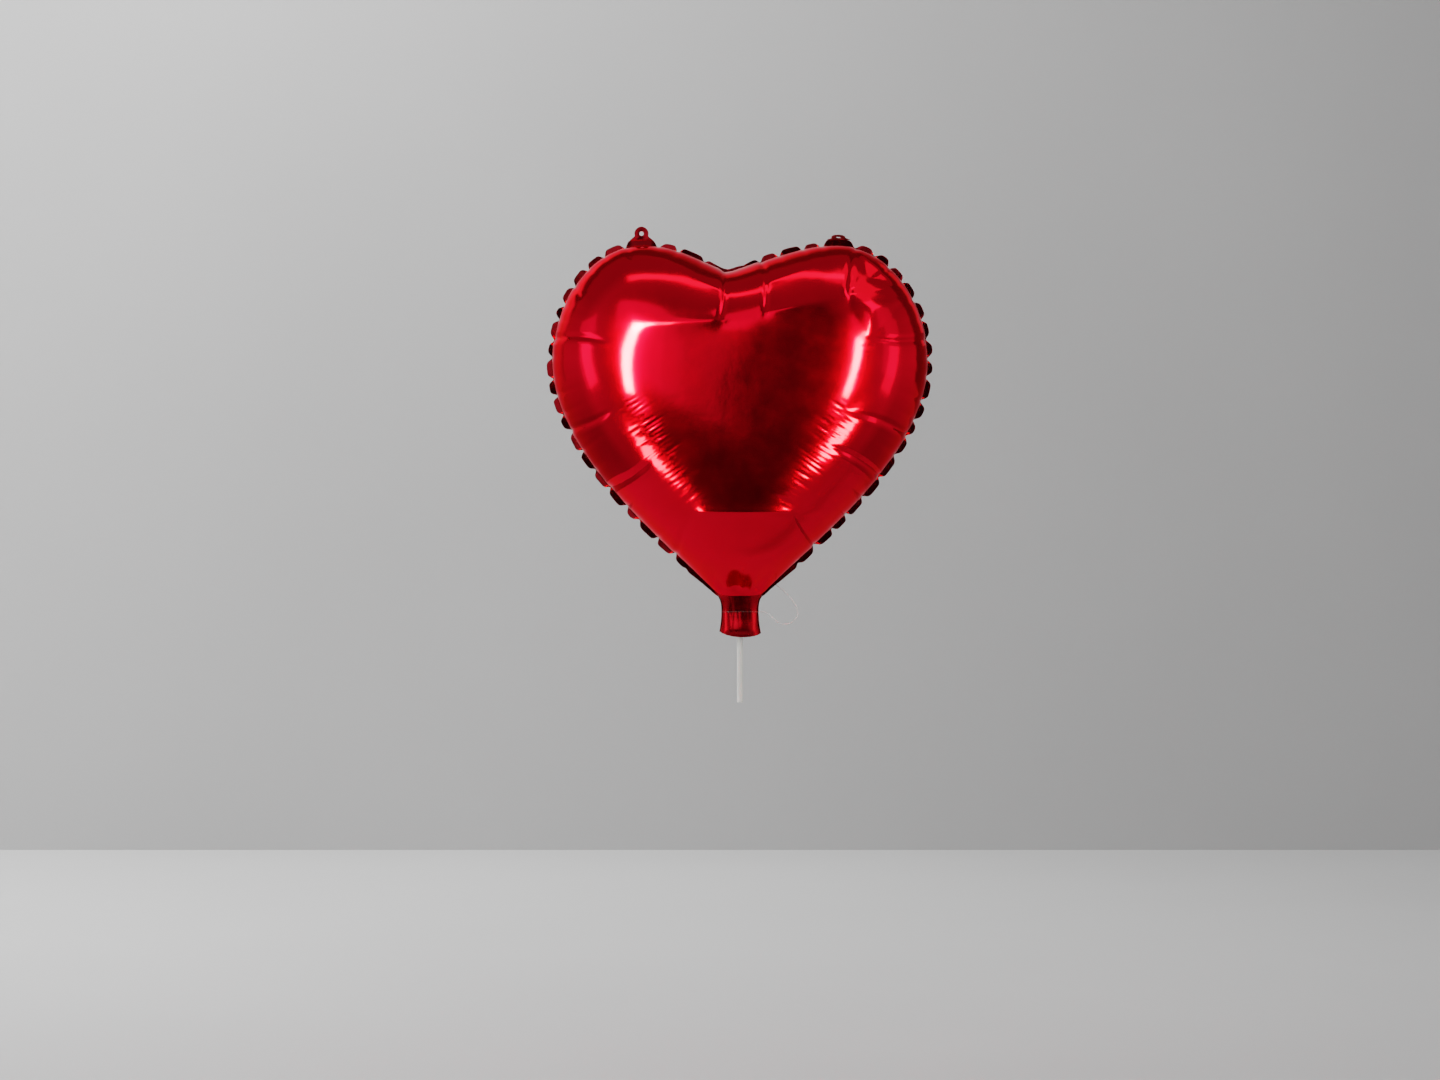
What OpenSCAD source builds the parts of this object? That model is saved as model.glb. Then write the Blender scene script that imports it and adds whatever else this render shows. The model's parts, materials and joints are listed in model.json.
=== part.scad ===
// Heart-shaped foil balloon with self-sealing valve, inflation straw and neck thread.
// +X is the balloon's right as seen from the front, +Y is its back, +Z is up.
// The origin is the centre of the neck's open mouth. Millimetres.

/* [Heart] */
// Width from seam to seam, inflated
heart_w = 358; // [300:2:420]
// Height from the neck's root to the top of the lobes' seam
heart_h = 332; // [290:2:400]
// Depth from front to rear, inflated
heart_depth = 166; // [110:2:190]
// How far the notch lies below the top of the lobes
notch_drop = 26; // [18:1:45]
// Thickness of each film wall
film_t = 0.3; // [0.2:0.05:0.5]

/* [Neck] */
// Width of the open mouth
mouth_w = 36; // [34:1:50]
// Width at the waist, where the thread is tied
waist_w = 32; // [31:1:36]
// Length from the mouth to the root
neck_l = 36; // [30:1:44]
// Depth of the neck, opened by the straw
neck_depth = 14; // [10:1:18]
// How far the middle of each lip hangs below the mouth's corners
lip_drop = 4; // [0:0.5:6]

/* [Seam] */
// Width of the heat-sealed band outside the panels
seam_w = 5; // [3:0.5:8]
// Width of that band along the neck
neck_seam_w = 1.2; // [0.8:0.1:1.5]
// Scallops along each side of the heart
scallops = 14; // [8:1:20]

/* [Hanging tabs] */
// Distance between the two tabs
tab_spacing = 187; // [150:1:220]
// Radius of a tab's round head
tab_r = 6.6; // [6:0.2:10]
// Width of a tab at the fold line
tab_base_w = 22; // [16:1:28]
// Radius of the eyelet hole
eyelet_r = 2.2; // [1.2:0.1:2.5]
// Height of the eyelet above the fold line
eyelet_h = 5.5; // [5:0.1:7]
// How far the right tab is folded back
right_fold = 62; // [0:1:80]

/* [Valve and straw] */
// Height of the valve's lower edge above the mouth
valve_z0 = 14; // [12:1:18]
// Length of the valve
valve_l = 104; // [90:2:140]
// Outer radius of the straw
straw_r = 2.75; // [2:0.05:2.9]
// Inner radius of the straw
straw_bore_r = 2.45; // [1.6:0.05:2.6]
// Length of the straw
straw_l = 150; // [120:5:180]
// Length of straw below the mouth
straw_out = 66; // [30:1:90]

/* [Thread] */
// Diameter of the clear thread
thread_d = 1.2; // [0.6:0.1:1.6]
// Height of the tie above the mouth
tie_z = 20; // [14:1:24]

/* [Hidden] */

foil = "crimson";
foil_dark = "darkred";
clear = "gainsboro";

half_w = heart_w / 2;
top_z = neck_l + heart_h;
notch_z = top_z - notch_drop;
seam_t = film_t;                    // the sealed band is both films fused
seam_y = seam_t / 2;                // the panels' rims stand on the band's faces
waist_x = waist_w / 2;
fold_z = top_z + seam_w + 0.3;      // the tabs fold along this line, clear of the band
fold_gap = 0.3;                     // between the fold line and the tab
bulge_clear = 0.25;                 // between straw and valve films
valve_film_t = 0.2;
valve_half_w = 12.5;

// The inflated seam line, right half, from the mouth to the notch.
flare = (neck_l - tie_z) / 4;        // from the waist out to the root
root = [waist_x + flare, neck_l];
widest = [half_w, neck_l + 0.66 * heart_h];
lobe_top = [0.51 * half_w, top_z];
notch = [0, notch_z];
flank_curve = [root, root + 0.133 * heart_h * [1, 1],
    [0.99 * half_w, neck_l + 0.39 * heart_h], widest];
shoulder_curve = [widest, [half_w, neck_l + 0.84 * heart_h],
    [0.79 * half_w, top_z], lobe_top];
lobe_curve = [lobe_top, [0.31 * half_w, top_z], [0.12 * half_w, notch_z], notch];

// Rungs run from the seam line to the spine, a line up the middle of the panel.
neck_rungs = 6;
flank_rungs = 14;
shoulder_rungs = 9;
lobe_rungs = 8;
last_rung = neck_rungs + flank_rungs + shoulder_rungs + lobe_rungs;
steps = 8;                          // points from the spine to the seam on each rung
spine_mid = [0, neck_l + 0.61 * heart_h];
spine_top = [0, neck_l + 0.7 * heart_h];
fullness = 2.4;                     // profile power of the heart; 2 is an ellipse

function bezier(c, t) =
    pow(1 - t, 3) * c[0] + 3 * pow(1 - t, 2) * t * c[1]
    + 3 * (1 - t) * t * t * c[2] + pow(t, 3) * c[3];

// The seam line at rung i, which may be a fraction.
flank_0 = neck_rungs;
shoulder_0 = flank_0 + flank_rungs;
lobe_0 = shoulder_0 + shoulder_rungs;
function neck_at(z) =
    z <= tie_z ? waist_x + (mouth_w / 2 - waist_x) * pow(1 - z / tie_z, 2)
    : waist_x + flare * pow((z - tie_z) / (neck_l - tie_z), 4);
function seam_at(i) =
    i <= flank_0 ? let (z = neck_l * i / neck_rungs) [neck_at(z), z]
    : i <= shoulder_0 ? bezier(flank_curve, (i - flank_0) / flank_rungs)
    : i <= lobe_0 ? bezier(shoulder_curve, (i - shoulder_0) / shoulder_rungs)
    : bezier(lobe_curve, (i - lobe_0) / lobe_rungs);

function mix(a, b, t) = a + (b - a) * t;
function unit(v) = v / norm(v);

function spine_at(i) =
    i <= flank_0 ? [0, seam_at(i).y]
    : i <= shoulder_0 ? mix([0, neck_l], spine_mid, (i - flank_0) / flank_rungs)
    : mix(spine_mid, spine_top, (i - shoulder_0) / (last_rung - shoulder_0));

// Half the depth on the spine.
function ridge_at(z) =
    z <= neck_l ? neck_depth / 2
    : z >= spine_mid.y ? heart_depth / 2
    : mix(neck_depth / 2, heart_depth / 2,
        sin(90 * (z - neck_l) / (spine_mid.y - neck_l)));

function power_at(i) =
    i <= flank_0 ? 2 : min(fullness, 2 + (i - flank_0) * 0.1);

// How far the middle of the lip's film hangs down at height z.
function lip_at(z) = z >= tie_z ? 0 : lip_drop * pow(1 - z / tie_z, 2);

// A point of the front skin: rung i, step m from -steps (left) to steps (right),
// sunk inwards by in.
function skin_at(i, m, in) =
    let (seam = seam_at(i), spine = spine_at(i),
         edge = seam - in * unit(seam - spine),
         out = sin(90 * abs(m) / steps),
         p = mix(spine, edge, out) - [0, lip_at(spine.y) * (1 - out * out)],
         depth = seam_y + (ridge_at(spine.y) - seam_y - in)
             * sqrt(1 - pow(out, power_at(i))))
    [sign(m) * p.x, -depth, p.y];

row = 2 * steps + 1;

// Index of a point in the list that skin() makes. The last rung lies in the
// middle plane, so both of its halves are the same points.
function at(i, m, i0, i1, notched) =
    (i - i0) * row + (notched && i == i1 ? abs(m) : m + steps);
function count(i0, i1, notched) =
    (i1 - i0) * row + (notched ? steps + 1 : row);
function points_of(i0, i1, notched, in) = [
    for (i = [i0:i1])
        for (m = [(notched && i == i1 ? 0 : -steps):steps])
            skin_at(i, m, in)
];
function strip(a, b, c, d) = [[a, b, c], [a, c, d]];

// The front film from rung i0 to rung i1, as one closed shell.
module skin(i0, i1) {
    notched = i1 == last_rung;
    n = count(i0, i1, notched);
    outer = points_of(i0, i1, notched, 0);
    inner = points_of(i0, i1, notched, film_t);
    sheets = [
        for (i = [i0:i1 - 1]) for (m = [-steps:steps - 1])
            let (a = at(i, m, i0, i1, notched), b = at(i, m + 1, i0, i1, notched),
                 c = at(i + 1, m + 1, i0, i1, notched), d = at(i + 1, m, i0, i1, notched))
            each concat(strip(d, c, b, a), strip(n + a, n + b, n + c, n + d))
    ];
    rims = [
        for (i = [i0:i1 - 1])
            let (a = at(i, steps, i0, i1, notched), b = at(i + 1, steps, i0, i1, notched),
                 c = at(i, -steps, i0, i1, notched), d = at(i + 1, -steps, i0, i1, notched))
            each concat(strip(n + a, a, b, n + b), strip(c, n + c, n + d, d))
    ];
    ends = [
        for (m = [-steps:steps - 1])
            let (a = at(i0, m, i0, i1, notched), b = at(i0, m + 1, i0, i1, notched),
                 c = at(i1, m, i0, i1, notched), d = at(i1, m + 1, i0, i1, notched))
            each concat(strip(a, b, n + b, n + a),
                notched ? [] : strip(d, c, n + c, n + d))
    ];
    polyhedron(concat(outer, inner), concat(sheets, rims, ends));
}

module front_panel() {
    color(foil) skin(neck_rungs, last_rung);
}

module rear_panel() {
    color(foil) mirror([0, 1, 0]) skin(neck_rungs, last_rung);
}

module neck_front() {
    color(foil) skin(0, neck_rungs);
}

module neck_rear() {
    color(foil) mirror([0, 1, 0]) skin(0, neck_rungs);
}

// Outward direction of the seam line in its own plane.
function outward(i) =
    i >= last_rung ? [0, 1]
    : let (d = seam_at(i + 0.02) - seam_at(max(0, i - 0.02))) unit([d.y, -d.x]);

band_grain = 6;                     // points of the band's edge per rung
scallop_depth = 0.3;                // share of the band's width
function band_w(i) =
    i <= flank_0 ? neck_seam_w
    : let (along = (i - flank_0) / (last_rung - flank_0),
           wave = abs(sin(180 * scallops * along)))
      mix(neck_seam_w, seam_w, min(1, along * 12)) * (1 - scallop_depth * (1 - wave));
function band_outer(i) = seam_at(i) + outward(i) * band_w(i);
function band_inner(i) =
    let (seam = seam_at(i)) seam - film_t * unit(seam - spine_at(i));

// The films' joined edges on the right, a flat band from rung i0 to rung i1.
function band_rungs(i0, i1) = [for (j = [0:(i1 - i0) * band_grain]) i0 + j / band_grain];
function reversed(p) = [for (j = [len(p) - 1:-1:0]) p[j]];
function flipped(p) = [for (q = p) [-q.x, q.y]];
module flat(p) {
    rotate([90, 0, 0]) linear_extrude(seam_t, center = true) polygon(p);
}

// All round the heart, up from the neck's root and down into the notch, with a
// scalloped edge.
module seam_band() {
    rungs = band_rungs(flank_0, last_rung);
    outer = [for (i = rungs) band_outer(i)];
    inner = [for (i = rungs) band_inner(i)];
    // The last point of each side lies on the middle line, so the left side drops it.
    left_outer = flipped([for (j = [0:len(outer) - 2]) outer[j]]);
    left_inner = flipped([for (j = [0:len(inner) - 2]) inner[j]]);
    color(foil_dark)
        flat(concat(outer, reversed(left_outer), left_inner, reversed(inner)));
}

// Down both sides of the neck.
module neck_seams() {
    rungs = band_rungs(0, flank_0);
    outer = [for (i = rungs) band_outer(i)];
    inner = [for (i = rungs) band_inner(i)];
    strip_edge = concat(outer, reversed(inner));
    color(foil_dark) {
        flat(strip_edge);
        flat(flipped(strip_edge));
    }
}

// An ear of both films with a punched eyelet, standing on its fold line.
module tab() {
    shoulder = [tab_r * 0.94, eyelet_h - tab_r * 0.34];
    color(foil_dark) rotate([90, 0, 0]) linear_extrude(seam_t, center = true)
        difference() {
            union() {
                translate([0, eyelet_h]) circle(r = tab_r, $fn = 64);
                polygon([
                    [-tab_base_w / 2, fold_gap], [tab_base_w / 2, fold_gap],
                    shoulder, [-shoulder.x, shoulder.y],
                ]);
            }
            translate([0, eyelet_h]) circle(r = eyelet_r, $fn = 48);
            translate([-tab_base_w, fold_gap - 20]) square([2 * tab_base_w, 20]);
        }
}

module left_tab() {
    translate([-tab_spacing / 2, 0, fold_z]) tab();
}

module right_tab() {
    translate([tab_spacing / 2, 0, fold_z]) rotate([-right_fold, 0, 0]) tab();
}

// Half of the valve's section: a flat film that arches over the straw.
module valve_half() {
    r = straw_r + bulge_clear;
    difference() {
        union() {
            circle(r = r + valve_film_t, $fn = 64);
            translate([-valve_half_w, -valve_film_t]) square([2 * valve_half_w, valve_film_t]);
        }
        circle(r = r, $fn = 64);
        translate([-valve_half_w - 1, 0]) square([2 * valve_half_w + 2, 2 * r]);
    }
}

module valve_front_film() {
    color(clear) translate([0, 0, valve_z0]) linear_extrude(valve_l) valve_half();
}

module valve_rear_film() {
    color(clear) translate([0, 0, valve_z0]) mirror([0, 1, 0])
        linear_extrude(valve_l) valve_half();
}

// The welds along the valve's two long edges, caught in the neck's side seams.
module valve_edge_seals() {
    w = waist_x - film_t - valve_half_w;
    color(clear) for (side = [-1, 1])
        translate([side * (valve_half_w + w / 2), 0, valve_z0 + valve_l / 2])
            cube([w, 2 * valve_film_t, valve_l], center = true);
}

module straw() {
    color("white") translate([0, 0, -straw_out]) difference() {
        cylinder(h = straw_l, r = straw_r, $fn = 64);
        translate([0, 0, -1]) cylinder(h = straw_l + 2, r = straw_bore_r, $fn = 64);
    }
}

// A round cord swept along points p. With closed it joins its own start.
cord_sides = 8;
module cord(p, d, closed = false) {
    n = len(p);
    heading = [for (i = [0:n - 1]) unit(closed
        ? p[(i + 1) % n] - p[(i + n - 1) % n]
        : p[min(i + 1, n - 1)] - p[max(i - 1, 0)])];
    // The section's first axis is square to the heading and to the plane it turns in.
    side = [for (h = heading) unit(cross(h, abs(h.y) > 0.9 ? [0, 0, 1] : [0, 1, 0]))];
    pts = [for (i = [0:n - 1]) let (up = cross(side[i], heading[i]))
        for (k = [0:cord_sides - 1])
            p[i] + d / 2 * (cos(360 * k / cord_sides) * side[i]
                + sin(360 * k / cord_sides) * up)];
    walls = [for (i = [0:(closed ? n - 1 : n - 2)]) for (k = [0:cord_sides - 1])
        let (a = i * cord_sides, b = ((i + 1) % n) * cord_sides, l = (k + 1) % cord_sides)
        each strip(a + k, a + l, b + l, b + k)];
    caps = closed ? [] : [
        [for (k = [cord_sides - 1:-1:0]) k],
        [for (k = [0:cord_sides - 1]) (n - 1) * cord_sides + k]
    ];
    polyhedron(pts, concat(walls, caps));
}

// The tie lies round the neck's waist, just outside its seam.
tie_points = 36;
tie_a = waist_x + neck_seam_w + thread_d / 2 + 0.15;
tie_b = neck_depth / 2 + thread_d / 2 + 0.15;
module thread_tie() {
    color(clear) cord([for (k = [0:tie_points - 1]) let (w = 360 * k / tie_points)
        [tie_a * cos(w), tie_b * sin(w), tie_z]], thread_d, closed = true);
}

// The knot sits on the tie, towards the back on the right.
knot_w = 25;
knot_r = 1.5;
knot_at = [tie_a * cos(knot_w) + 0.9, tie_b * sin(knot_w) + 0.95, tie_z];
module thread_knot() {
    color(clear) translate(knot_at) {
        sphere(r = knot_r, $fn = 32);
        translate([0.2, 0.6, -1]) sphere(r = 0.8 * knot_r, $fn = 32);
    }
}

// The loose loop: up behind the flank from the knot, one turn out to the right, and back.
loop_route = [
    knot_at + [-0.3, 0.8, 0.7], [17, 9, 23], [17, 15, 27], [18, 20, 32], [20, 23, 38],
    [24, 24, 43], [30, 23, 46], [36, 21, 44], [42, 19, 39], [47, 17, 34],
    [51, 15, 29], [54, 13, 24], [55, 11, 18], [53, 10, 13], [48, 9, 9],
    [43, 9, 8], [38, 8, 9], [33, 8, 12], [29, 7, 16], [25, 6, 19],
    knot_at + [0.9, -0.3, -0.3],
];
loop_grain = 2;                     // tube rings per point of the route
function spline(p, s) =
    let (n = len(p), i = min(floor(s), n - 2), t = s - i,
         a = p[max(i - 1, 0)], b = p[i], c = p[i + 1], d = p[min(i + 2, n - 1)])
    0.5 * (2 * b + (c - a) * t + (2 * a - 5 * b + 4 * c - d) * t * t
        + (3 * b - a - 3 * c + d) * t * t * t);
module thread_loop() {
    n = (len(loop_route) - 1) * loop_grain;
    color(clear) cord([for (j = [0:n]) spline(loop_route, j / loop_grain)], thread_d);
}

front_panel();
rear_panel();
neck_front();
neck_rear();
seam_band();
neck_seams();
left_tab();
right_tab();
valve_front_film();
valve_rear_film();
valve_edge_seals();
straw();
thread_tie();
thread_knot();
thread_loop();
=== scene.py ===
"""Looks of the heart-shaped foil balloon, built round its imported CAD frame. Metres."""

import json
import math

import bpy
import numpy as np
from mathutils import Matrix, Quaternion, Vector

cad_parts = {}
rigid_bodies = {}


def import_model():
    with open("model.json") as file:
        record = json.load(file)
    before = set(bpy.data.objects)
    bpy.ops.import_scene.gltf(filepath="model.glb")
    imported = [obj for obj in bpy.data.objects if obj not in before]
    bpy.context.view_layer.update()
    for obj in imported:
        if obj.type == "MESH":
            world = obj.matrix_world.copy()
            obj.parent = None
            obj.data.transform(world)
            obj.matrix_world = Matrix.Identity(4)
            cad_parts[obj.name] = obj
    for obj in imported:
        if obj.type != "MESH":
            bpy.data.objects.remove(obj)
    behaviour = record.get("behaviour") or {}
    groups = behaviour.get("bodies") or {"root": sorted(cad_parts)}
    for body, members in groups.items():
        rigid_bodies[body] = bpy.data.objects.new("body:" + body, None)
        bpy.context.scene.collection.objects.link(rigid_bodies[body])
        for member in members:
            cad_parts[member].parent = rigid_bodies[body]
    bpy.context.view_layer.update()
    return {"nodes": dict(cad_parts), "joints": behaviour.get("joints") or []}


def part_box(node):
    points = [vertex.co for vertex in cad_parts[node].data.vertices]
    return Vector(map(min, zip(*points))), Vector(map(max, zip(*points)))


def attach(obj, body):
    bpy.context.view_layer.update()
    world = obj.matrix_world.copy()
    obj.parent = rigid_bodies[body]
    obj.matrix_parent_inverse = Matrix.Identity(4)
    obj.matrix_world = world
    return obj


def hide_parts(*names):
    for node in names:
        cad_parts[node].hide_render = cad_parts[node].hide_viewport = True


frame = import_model()
NODES = frame["nodes"]
MM = 0.001

# --- Sizes read from the frame ------------------------------------------------------

panel_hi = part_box("front_panel")[1]
rear_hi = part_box("rear_panel")[1]
band_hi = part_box("seam_band")[1]
HALF_W = panel_hi.x                      # the seam's half width
NECK_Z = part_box("seam_band")[0].z        # the neck's root
TOP_Z = panel_hi.z                       # the seam at the top of the lobes
HALF_DEPTH = rear_hi.y
HEART_H = TOP_Z - NECK_Z
BAND_W = band_hi.z - TOP_Z
LIP_DROP = -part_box("neck_front")[0].z

# --- Sizes of the look --------------------------------------------------------------

NOTCH = Vector((-12 * MM, TOP_Z - 26 * MM))   # the notch leans to the left
ROOT_X = 20 * MM
WAIST_X, WAIST_Z = 16.4 * MM, 20 * MM
WAIST_DEPTH = 7.2 * MM                   # half the neck's depth at its waist
NECK_FLARE = 1.2 * MM                    # how much deeper the neck gets from there to its root
LIP_SLANT = 0.9 * MM                     # how much lower the lip hangs on the right
BARREL = 1.9                             # higher is flatter in the middle of a panel
FILM_THICK = 0.3 * MM
WELD_THICK = 0.35 * MM
TAB_THICK = 0.45 * MM

CORE = 40                                # quads along a side of a panel's middle patch
RINGS = 17                               # quads from that patch to the seam
PATCH_SHARE = 0.42                       # how far out the patch reaches before it's rounded off
FINE = 2                                 # subdivisions before creases are pressed in

# --- Small helpers ------------------------------------------------------------------


def bezier(c, t):
    c, t = np.array(c, float), np.asarray(t)[:, None]
    s = 1 - t
    return s**3 * c[0] + 3 * s * s * t * c[1] + 3 * s * t * t * c[2] + t**3 * c[3]


def resample(p, n):
    """n + 1 points at equal spacing along the polyline p."""
    s = arc_length(p)
    at = np.linspace(0, s[-1], n + 1)
    return np.stack([np.interp(at, s, p[:, k]) for k in range(p.shape[1])], 1)


def arc_length(p):
    return np.concatenate([[0], np.cumsum(np.linalg.norm(np.diff(p, axis=0), axis=1))])


def smoothstep(lo, hi, x):
    """0 at lo and 1 at hi, which may be the lower of the two."""
    t = np.clip((x - lo) / (hi - lo), 0, 1)
    return t * t * (3 - 2 * t)


def unit(v):
    return v / np.maximum(np.linalg.norm(v, axis=-1, keepdims=True), 1e-12)


def new_mesh(name, verts, faces, smooth=True):
    me = bpy.data.meshes.new(name)
    me.from_pydata([tuple(map(float, v)) for v in verts], [], [tuple(map(int, f)) for f in faces])
    me.update()
    me.polygons.foreach_set("use_smooth", [smooth] * len(me.polygons))
    ob = bpy.data.objects.new(name, me)
    bpy.context.scene.collection.objects.link(ob)
    return ob


def coords(me):
    co = np.empty(len(me.vertices) * 3)
    me.vertices.foreach_get("co", co)
    return co.reshape(-1, 3)


def set_coords(me, co):
    me.vertices.foreach_set("co", co.ravel())
    me.update()


def normals(me):
    no = np.empty(len(me.vertices) * 3)
    me.vertices.foreach_get("normal", no)
    return no.reshape(-1, 3)


def grid_quads(n, m):
    """Quads between n rows of m points each."""
    ids = np.arange(n * m).reshape(n, m)
    return np.stack([ids[:-1, :-1], ids[:-1, 1:], ids[1:, 1:], ids[1:, :-1]], -1).reshape(-1, 4)


def apply_modifiers(ob):
    """Replaces the object's mesh by its evaluated one."""
    made = ob.evaluated_get(bpy.context.evaluated_depsgraph_get())
    me = bpy.data.meshes.new_from_object(made)
    ob.modifiers.clear()
    old, ob.data = ob.data, me
    bpy.data.meshes.remove(old)
    return me


# --- Camera -------------------------------------------------------------------------

AIM = Vector((-19 * MM, 0, 88 * MM))     # the middle of the picture
PICTURE_W = 1.367                        # how wide the picture is at the balloon
CAMERA_AWAY = 3.1
SENSOR_W = 36                            # in millimetres, as its lens

camera = bpy.data.objects.new("camera", bpy.data.cameras.new("camera"))
bpy.context.scene.collection.objects.link(camera)
camera.location = AIM - Vector((0, CAMERA_AWAY, 0))
camera.rotation_euler = (math.pi / 2, 0, 0)
camera.data.sensor_width = SENSOR_W
camera.data.lens = SENSOR_W * CAMERA_AWAY / PICTURE_W
bpy.context.scene.camera = camera

# --- The seam line ------------------------------------------------------------------


def seam_side(side, n):
    """The inflated seam from the neck's root (first) to the notch (last), as x, z.
    side is 1 for the right and -1 for the left."""
    # Three Bezier pieces, with ends and handles at shares of the heart's size.
    w, top = HALF_W, TOP_Z
    root, widest, lobe = (ROOT_X, NECK_Z), (w, NECK_Z + 0.66 * HEART_H), (0.51 * w, top)
    reach = 0.133 * HEART_H
    notch = (NOTCH.x * side, NOTCH.y)
    flank = [root, (root[0] + reach, root[1] + reach), (0.99 * w, NECK_Z + 0.39 * HEART_H), widest]
    shoulder = [widest, (w, NECK_Z + 0.84 * HEART_H), (0.79 * w, top), lobe]
    dip = [lobe, (0.31 * w, top), (notch[0] + 0.07 * w, notch[1] + 3 * MM), notch]
    t = np.linspace(0, 1, 90, endpoint=False)
    p = np.concatenate([bezier(c, t) for c in (flank, shoulder, dip)] + [[notch]])
    p = resample(p, n)
    p[:, 0] *= side
    return p


# --- A panel's grid: a square middle patch with rings of quads out to the seam -------


def panel_grid():
    """x, z of the points, quads, the ids of the outer ring from the root's left corner, and how
    many quads the root takes."""
    ring_n = 4 * CORE
    root_n = 8
    side_n = (ring_n - root_n) // 2
    right, left = seam_side(1, side_n), seam_side(-1, side_n)
    root = np.linspace(left[0], right[0], root_n + 1)
    loop = np.concatenate([root[:-1], right[:-1], left[::-1][:-1]])
    start = (root_n // 2 - CORE // 2) % ring_n      # loop index below the patch's first corner
    loop_of = (np.arange(ring_n) + start) % ring_n
    outer = loop[loop_of]

    centre = np.array([0, NECK_Z + 0.57 * HEART_H])
    inner = centre + (outer - centre) * PATCH_SHARE
    for _ in range(80):                             # rounds it off
        inner = 0.5 * inner + 0.25 * (np.roll(inner, 1, 0) + np.roll(inner, -1, 0))

    # The middle patch blends its four sides.
    n = CORE
    bottom, rside = inner[: n + 1], inner[n : 2 * n + 1]
    top = inner[2 * n : 3 * n + 1][::-1]
    lside = np.concatenate([inner[3 * n :], inner[:1]])[::-1]
    u = np.linspace(0, 1, n + 1)
    U, V = (m[..., None] for m in np.meshgrid(u, u))
    patch = (
        (1 - V) * bottom[None] + V * top[None] + (1 - U) * lside[:, None] + U * rside[:, None]
        - (1 - U) * (1 - V) * bottom[0] - U * (1 - V) * bottom[-1]
        - (1 - U) * V * top[0] - U * V * top[-1]
    )
    ids = np.arange((n + 1) ** 2).reshape(n + 1, n + 1)
    quads = [grid_quads(n + 1, n + 1)]
    last = np.concatenate([ids[0, :-1], ids[:-1, -1], ids[-1, :0:-1], ids[:0:-1, 0]])
    points = [patch.reshape(-1, 2)]
    for q in range(1, RINGS + 1):
        t = 1 - (1 - q / RINGS) ** 2                # rings crowd towards the seam
        points.append(inner * (1 - t) + outer * t)
        ring = (n + 1) ** 2 + (q - 1) * ring_n + np.arange(ring_n)
        quads.append(np.stack([last, ring, np.roll(ring, -1), np.roll(last, -1)], -1))
        last = ring
    xz, quads = np.concatenate(points), np.concatenate(quads)
    seam_ids = last[np.argsort(loop_of)]            # in loop order

    # Evens out the middle; the outer rings stay.
    free = np.ones(len(xz), bool)
    free[(n + 1) ** 2 + (RINGS - 6) * ring_n :] = False
    edges = np.unique(np.sort(np.concatenate([quads[:, [k, (k + 1) % 4]] for k in range(4)]), 1), axis=0)
    a, b = edges[:, 0], edges[:, 1]
    count = np.bincount(edges.ravel(), minlength=len(xz))[:, None]
    for _ in range(60):
        total = np.stack(
            [np.bincount(a, xz[b, k], len(xz)) + np.bincount(b, xz[a, k], len(xz)) for k in (0, 1)], 1
        )
        xz[free] = 0.5 * xz[free] + 0.5 * (total / count)[free]
    return xz, quads, seam_ids, root_n


def swell(xz, quads, rim):
    """How full the panel is at each point: Poisson's equation on the flat panel, 0 on its
    rim and 1 at its fullest, as a film under even pressure."""
    n = len(xz)
    tris = np.concatenate([quads[:, [0, 1, 2]], quads[:, [0, 2, 3]]])
    p = xz[tris]
    e = np.stack([p[:, 2] - p[:, 1], p[:, 0] - p[:, 2], p[:, 1] - p[:, 0]], 1)
    area = 0.5 * np.abs(e[:, 0, 0] * e[:, 1, 1] - e[:, 0, 1] * e[:, 1, 0])
    K = np.zeros((n, n))
    f = np.zeros(n)
    for i in range(3):
        f += np.bincount(tris[:, i], area / 3, n)
        for j in range(3):
            w = (e[:, i] * e[:, j]).sum(1) / (4 * area)
            np.add.at(K, (tris[:, i], tris[:, j]), w)
    free = np.setdiff1d(np.arange(n), rim)
    phi = np.zeros(n)
    phi[free] = np.linalg.solve(K[np.ix_(free, free)], f[free])
    return phi / phi.max()


# --- Threads: the tie at the waist, its knot, and the loop to hang the balloon by ------

THREAD_R = 0.6 * MM
TIE_R = 0.35 * MM
KNOT_R = 0.4 * MM
KNOT_SIZE = 0.45 * MM                    # a third of the knot's half height
TIE_A, TIE_B = 17.95 * MM, 7.75 * MM     # the tie's oval, to the middle of the thread
KNOT_TURN = math.radians(25)
KNOT = np.array([TIE_A * math.cos(KNOT_TURN) + 0.9 * MM, TIE_B * math.sin(KNOT_TURN) + 0.95 * MM, WAIST_Z])
# The loop's way round, in millimetres from the neck's mouth.
LOOP_MM = (
    (17, 9, 23), (17, 15, 27), (18, 20, 32), (20, 23, 38), (24, 24, 43), (30, 23, 46),
    (36, 21, 44), (42, 19, 39), (47, 17, 34), (51, 15, 29), (54, 13, 24), (55, 11, 18),
    (53, 10, 13), (48, 9, 9), (43, 9, 8), (38, 8, 9), (33, 8, 12), (29, 7, 16), (25, 6, 19),
)


def catmull_rom(points, per_span):
    """A smooth line through the points, and beyond neither end."""
    p = np.array(points, float)
    p = np.concatenate([2 * p[:1] - p[1:2], p, 2 * p[-1:] - p[-2:-1]])
    t = np.linspace(0, 1, per_span, endpoint=False)[:, None]
    out = []
    for a, b, c, d in zip(p[:-3], p[1:-2], p[2:-1], p[3:]):
        out.append(b + 0.5 * t * (c - a + t * (2 * a - 5 * b + 4 * c - d + t * (3 * (b - c) + d - a))))
    return np.concatenate(out + [p[-2:-1]])


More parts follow.
